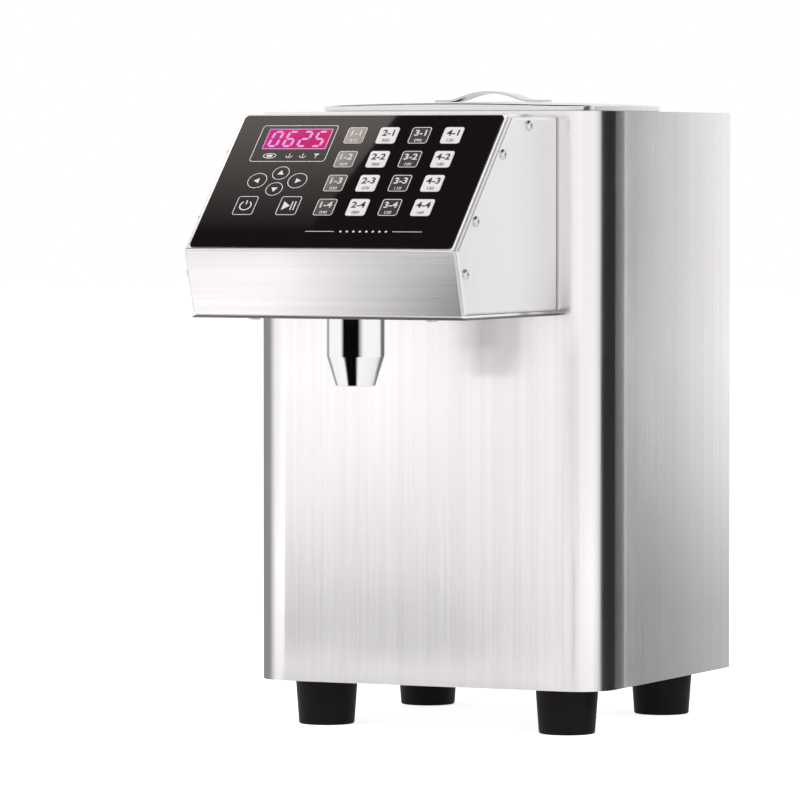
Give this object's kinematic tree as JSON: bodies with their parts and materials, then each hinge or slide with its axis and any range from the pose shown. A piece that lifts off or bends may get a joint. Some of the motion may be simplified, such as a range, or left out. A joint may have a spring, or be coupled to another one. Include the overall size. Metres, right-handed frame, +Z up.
{
  "type": "fructose dispenser",
  "caption": "Countertop electric syrup dispenser: sheet-steel column with a lidded tank and gear pump, overhanging sloped keypad head and a downward nozzle.",
  "frame": {"origin": "centre of the machine's plan, on the surface it stands on", "axes": "+X to the right of a person facing the keypad, +Y to the machine's back, +Z up"},
  "size_m": [0.28, 0.4309, 0.4685],
  "materials": {
    "brushed_stainless": "brushed",
    "polished_chrome": "polished",
    "black_panel": "gloss",
    "display_red_module": "matte",
    "circuit_board": "satin",
    "orange_silicone": "matte",
    "clear_silicone": "satin",
    "black_enamel": "satin",
    "pump_metal": "machined",
    "black_plastic": "satin",
    "rocker_plastic": "gloss",
    "black_rubber": "matte",
    "black_key": "gloss",
    "white_key": "gloss",
    "display_red": "gloss"
  },
  "bodies": {
    "housing": {"back_panel": "brushed_stainless", "base_plate": "brushed_stainless", "body_shell": "brushed_stainless", "control_board": "circuit_board", "delivery_hose": "clear_silicone", "display_module": "display_red_module", "display_window": "display_red", "foot_bolts": "brushed_stainless", "foot_front_left": "black_rubber", "foot_front_right": "black_rubber", "foot_rear_left": "black_rubber", "foot_rear_right": "black_rubber", "head_cheek_left": "brushed_stainless", "head_cheek_right": "brushed_stainless", "head_shell": "brushed_stainless", "heater_pad": "orange_silicone", "hose_clamps": "brushed_stainless", "keypad_overlay": "black_panel", "nozzle": "polished_chrome", "nozzle_nut": "brushed_stainless", "outlet_strainer": "brushed_stainless", "pan_head_screws": "brushed_stainless", "power_board": "circuit_board", "power_inlet": "black_plastic", "power_switch": "black_plastic", "pump_body": "pump_metal", "pump_bracket": "brushed_stainless", "pump_cover": "pump_metal", "pump_motor": "black_enamel", "suction_hose": "clear_silicone", "tank": "brushed_stainless", "top_plate": "brushed_stainless"},
    "lid_assembly": {"lid": "brushed_stainless", "lid_seal": "clear_silicone", "lid_handle": "brushed_stainless"},
    "drive_gear": {"drive_gear": "brushed_stainless"},
    "idler_gear": {"idler_gear": "brushed_stainless"},
    "power_rocker": {"power_rocker": "rocker_plastic"},
    "key_1_1": {"key_1_1": "black_key"},
    "key_1_2": {"key_1_2": "black_key"},
    "key_1_3": {"key_1_3": "black_key"},
    "key_1_4": {"key_1_4": "black_key"},
    "key_2_1": {"key_2_1": "white_key"},
    "key_2_2": {"key_2_2": "white_key"},
    "key_2_3": {"key_2_3": "white_key"},
    "key_2_4": {"key_2_4": "white_key"},
    "key_3_1": {"key_3_1": "black_key"},
    "key_3_2": {"key_3_2": "black_key"},
    "key_3_3": {"key_3_3": "black_key"},
    "key_3_4": {"key_3_4": "black_key"},
    "key_4_1": {"key_4_1": "white_key"},
    "key_4_2": {"key_4_2": "white_key"},
    "key_4_3": {"key_4_3": "white_key"},
    "key_4_4": {"key_4_4": "white_key"},
    "key_up": {"key_up": "black_key"},
    "key_down": {"key_down": "black_key"},
    "key_left": {"key_left": "black_key"},
    "key_right": {"key_right": "black_key"},
    "key_clear": {"key_clear": "black_key"},
    "key_enter": {"key_enter": "black_key"}
  },
  "joints": [
    {"name": "lid_lift", "type": "slide", "parent": "housing", "child": "lid_assembly", "axis": [0, 0, 1], "range_m": [0, 0.15]},
    {"name": "key_1_1_press", "type": "slide", "parent": "housing", "child": "key_1_1", "axis": [0, 0.7108, -0.7034], "range_m": [0, 0.0005], "stiffness_N_per_m": 300, "springref_m": -0.002},
    {"name": "key_1_2_press", "type": "slide", "parent": "housing", "child": "key_1_2", "axis": [0, 0.7108, -0.7034], "range_m": [0, 0.0005], "stiffness_N_per_m": 300, "springref_m": -0.002},
    {"name": "key_1_3_press", "type": "slide", "parent": "housing", "child": "key_1_3", "axis": [0, 0.7108, -0.7034], "range_m": [0, 0.0005], "stiffness_N_per_m": 300, "springref_m": -0.002},
    {"name": "key_1_4_press", "type": "slide", "parent": "housing", "child": "key_1_4", "axis": [0, 0.7108, -0.7034], "range_m": [0, 0.0005], "stiffness_N_per_m": 300, "springref_m": -0.002},
    {"name": "key_2_1_press", "type": "slide", "parent": "housing", "child": "key_2_1", "axis": [0, 0.7108, -0.7034], "range_m": [0, 0.0005], "stiffness_N_per_m": 300, "springref_m": -0.002},
    {"name": "key_2_2_press", "type": "slide", "parent": "housing", "child": "key_2_2", "axis": [0, 0.7108, -0.7034], "range_m": [0, 0.0005], "stiffness_N_per_m": 300, "springref_m": -0.002},
    {"name": "key_2_3_press", "type": "slide", "parent": "housing", "child": "key_2_3", "axis": [0, 0.7108, -0.7034], "range_m": [0, 0.0005], "stiffness_N_per_m": 300, "springref_m": -0.002},
    {"name": "key_2_4_press", "type": "slide", "parent": "housing", "child": "key_2_4", "axis": [0, 0.7108, -0.7034], "range_m": [0, 0.0005], "stiffness_N_per_m": 300, "springref_m": -0.002},
    {"name": "key_3_1_press", "type": "slide", "parent": "housing", "child": "key_3_1", "axis": [0, 0.7108, -0.7034], "range_m": [0, 0.0005], "stiffness_N_per_m": 300, "springref_m": -0.002},
    {"name": "key_3_2_press", "type": "slide", "parent": "housing", "child": "key_3_2", "axis": [0, 0.7108, -0.7034], "range_m": [0, 0.0005], "stiffness_N_per_m": 300, "springref_m": -0.002},
    {"name": "key_3_3_press", "type": "slide", "parent": "housing", "child": "key_3_3", "axis": [0, 0.7108, -0.7034], "range_m": [0, 0.0005], "stiffness_N_per_m": 300, "springref_m": -0.002},
    {"name": "key_3_4_press", "type": "slide", "parent": "housing", "child": "key_3_4", "axis": [0, 0.7108, -0.7034], "range_m": [0, 0.0005], "stiffness_N_per_m": 300, "springref_m": -0.002},
    {"name": "key_4_1_press", "type": "slide", "parent": "housing", "child": "key_4_1", "axis": [0, 0.7108, -0.7034], "range_m": [0, 0.0005], "stiffness_N_per_m": 300, "springref_m": -0.002},
    {"name": "key_4_2_press", "type": "slide", "parent": "housing", "child": "key_4_2", "axis": [0, 0.7108, -0.7034], "range_m": [0, 0.0005], "stiffness_N_per_m": 300, "springref_m": -0.002},
    {"name": "key_4_3_press", "type": "slide", "parent": "housing", "child": "key_4_3", "axis": [0, 0.7108, -0.7034], "range_m": [0, 0.0005], "stiffness_N_per_m": 300, "springref_m": -0.002},
    {"name": "key_4_4_press", "type": "slide", "parent": "housing", "child": "key_4_4", "axis": [0, 0.7108, -0.7034], "range_m": [0, 0.0005], "stiffness_N_per_m": 300, "springref_m": -0.002},
    {"name": "key_up_press", "type": "slide", "parent": "housing", "child": "key_up", "axis": [0, 0.7108, -0.7034], "range_m": [0, 0.0005], "stiffness_N_per_m": 300, "springref_m": -0.002},
    {"name": "key_down_press", "type": "slide", "parent": "housing", "child": "key_down", "axis": [0, 0.7108, -0.7034], "range_m": [0, 0.0005], "stiffness_N_per_m": 300, "springref_m": -0.002},
    {"name": "key_left_press", "type": "slide", "parent": "housing", "child": "key_left", "axis": [0, 0.7108, -0.7034], "range_m": [0, 0.0005], "stiffness_N_per_m": 300, "springref_m": -0.002},
    {"name": "key_right_press", "type": "slide", "parent": "housing", "child": "key_right", "axis": [0, 0.7108, -0.7034], "range_m": [0, 0.0005], "stiffness_N_per_m": 300, "springref_m": -0.002},
    {"name": "key_clear_press", "type": "slide", "parent": "housing", "child": "key_clear", "axis": [0, 0.7108, -0.7034], "range_m": [0, 0.0005], "stiffness_N_per_m": 300, "springref_m": -0.002},
    {"name": "key_enter_press", "type": "slide", "parent": "housing", "child": "key_enter", "axis": [0, 0.7108, -0.7034], "range_m": [0, 0.0005], "stiffness_N_per_m": 300, "springref_m": -0.002},
    {"name": "power_rocker_tilt", "type": "hinge", "parent": "housing", "child": "power_rocker", "pos_m": [-0.084, 0.21262, 0.132], "axis": [1, 0, 0], "range_deg": [0, 18]},
    {"name": "drive_gear_spin", "type": "hinge", "parent": "housing", "child": "drive_gear", "pos_m": [0, 0.03592, 0.117], "axis": [0, 1, 0], "continuous": true},
    {"name": "idler_gear_spin", "type": "hinge", "parent": "housing", "child": "idler_gear", "pos_m": [0, 0.03592, 0.093], "axis": [0, 1, 0], "continuous": true}
  ],
  "couplings": [
    {"joint": "idler_gear_spin", "follows": "drive_gear_spin", "ratio": -1}
  ]
}
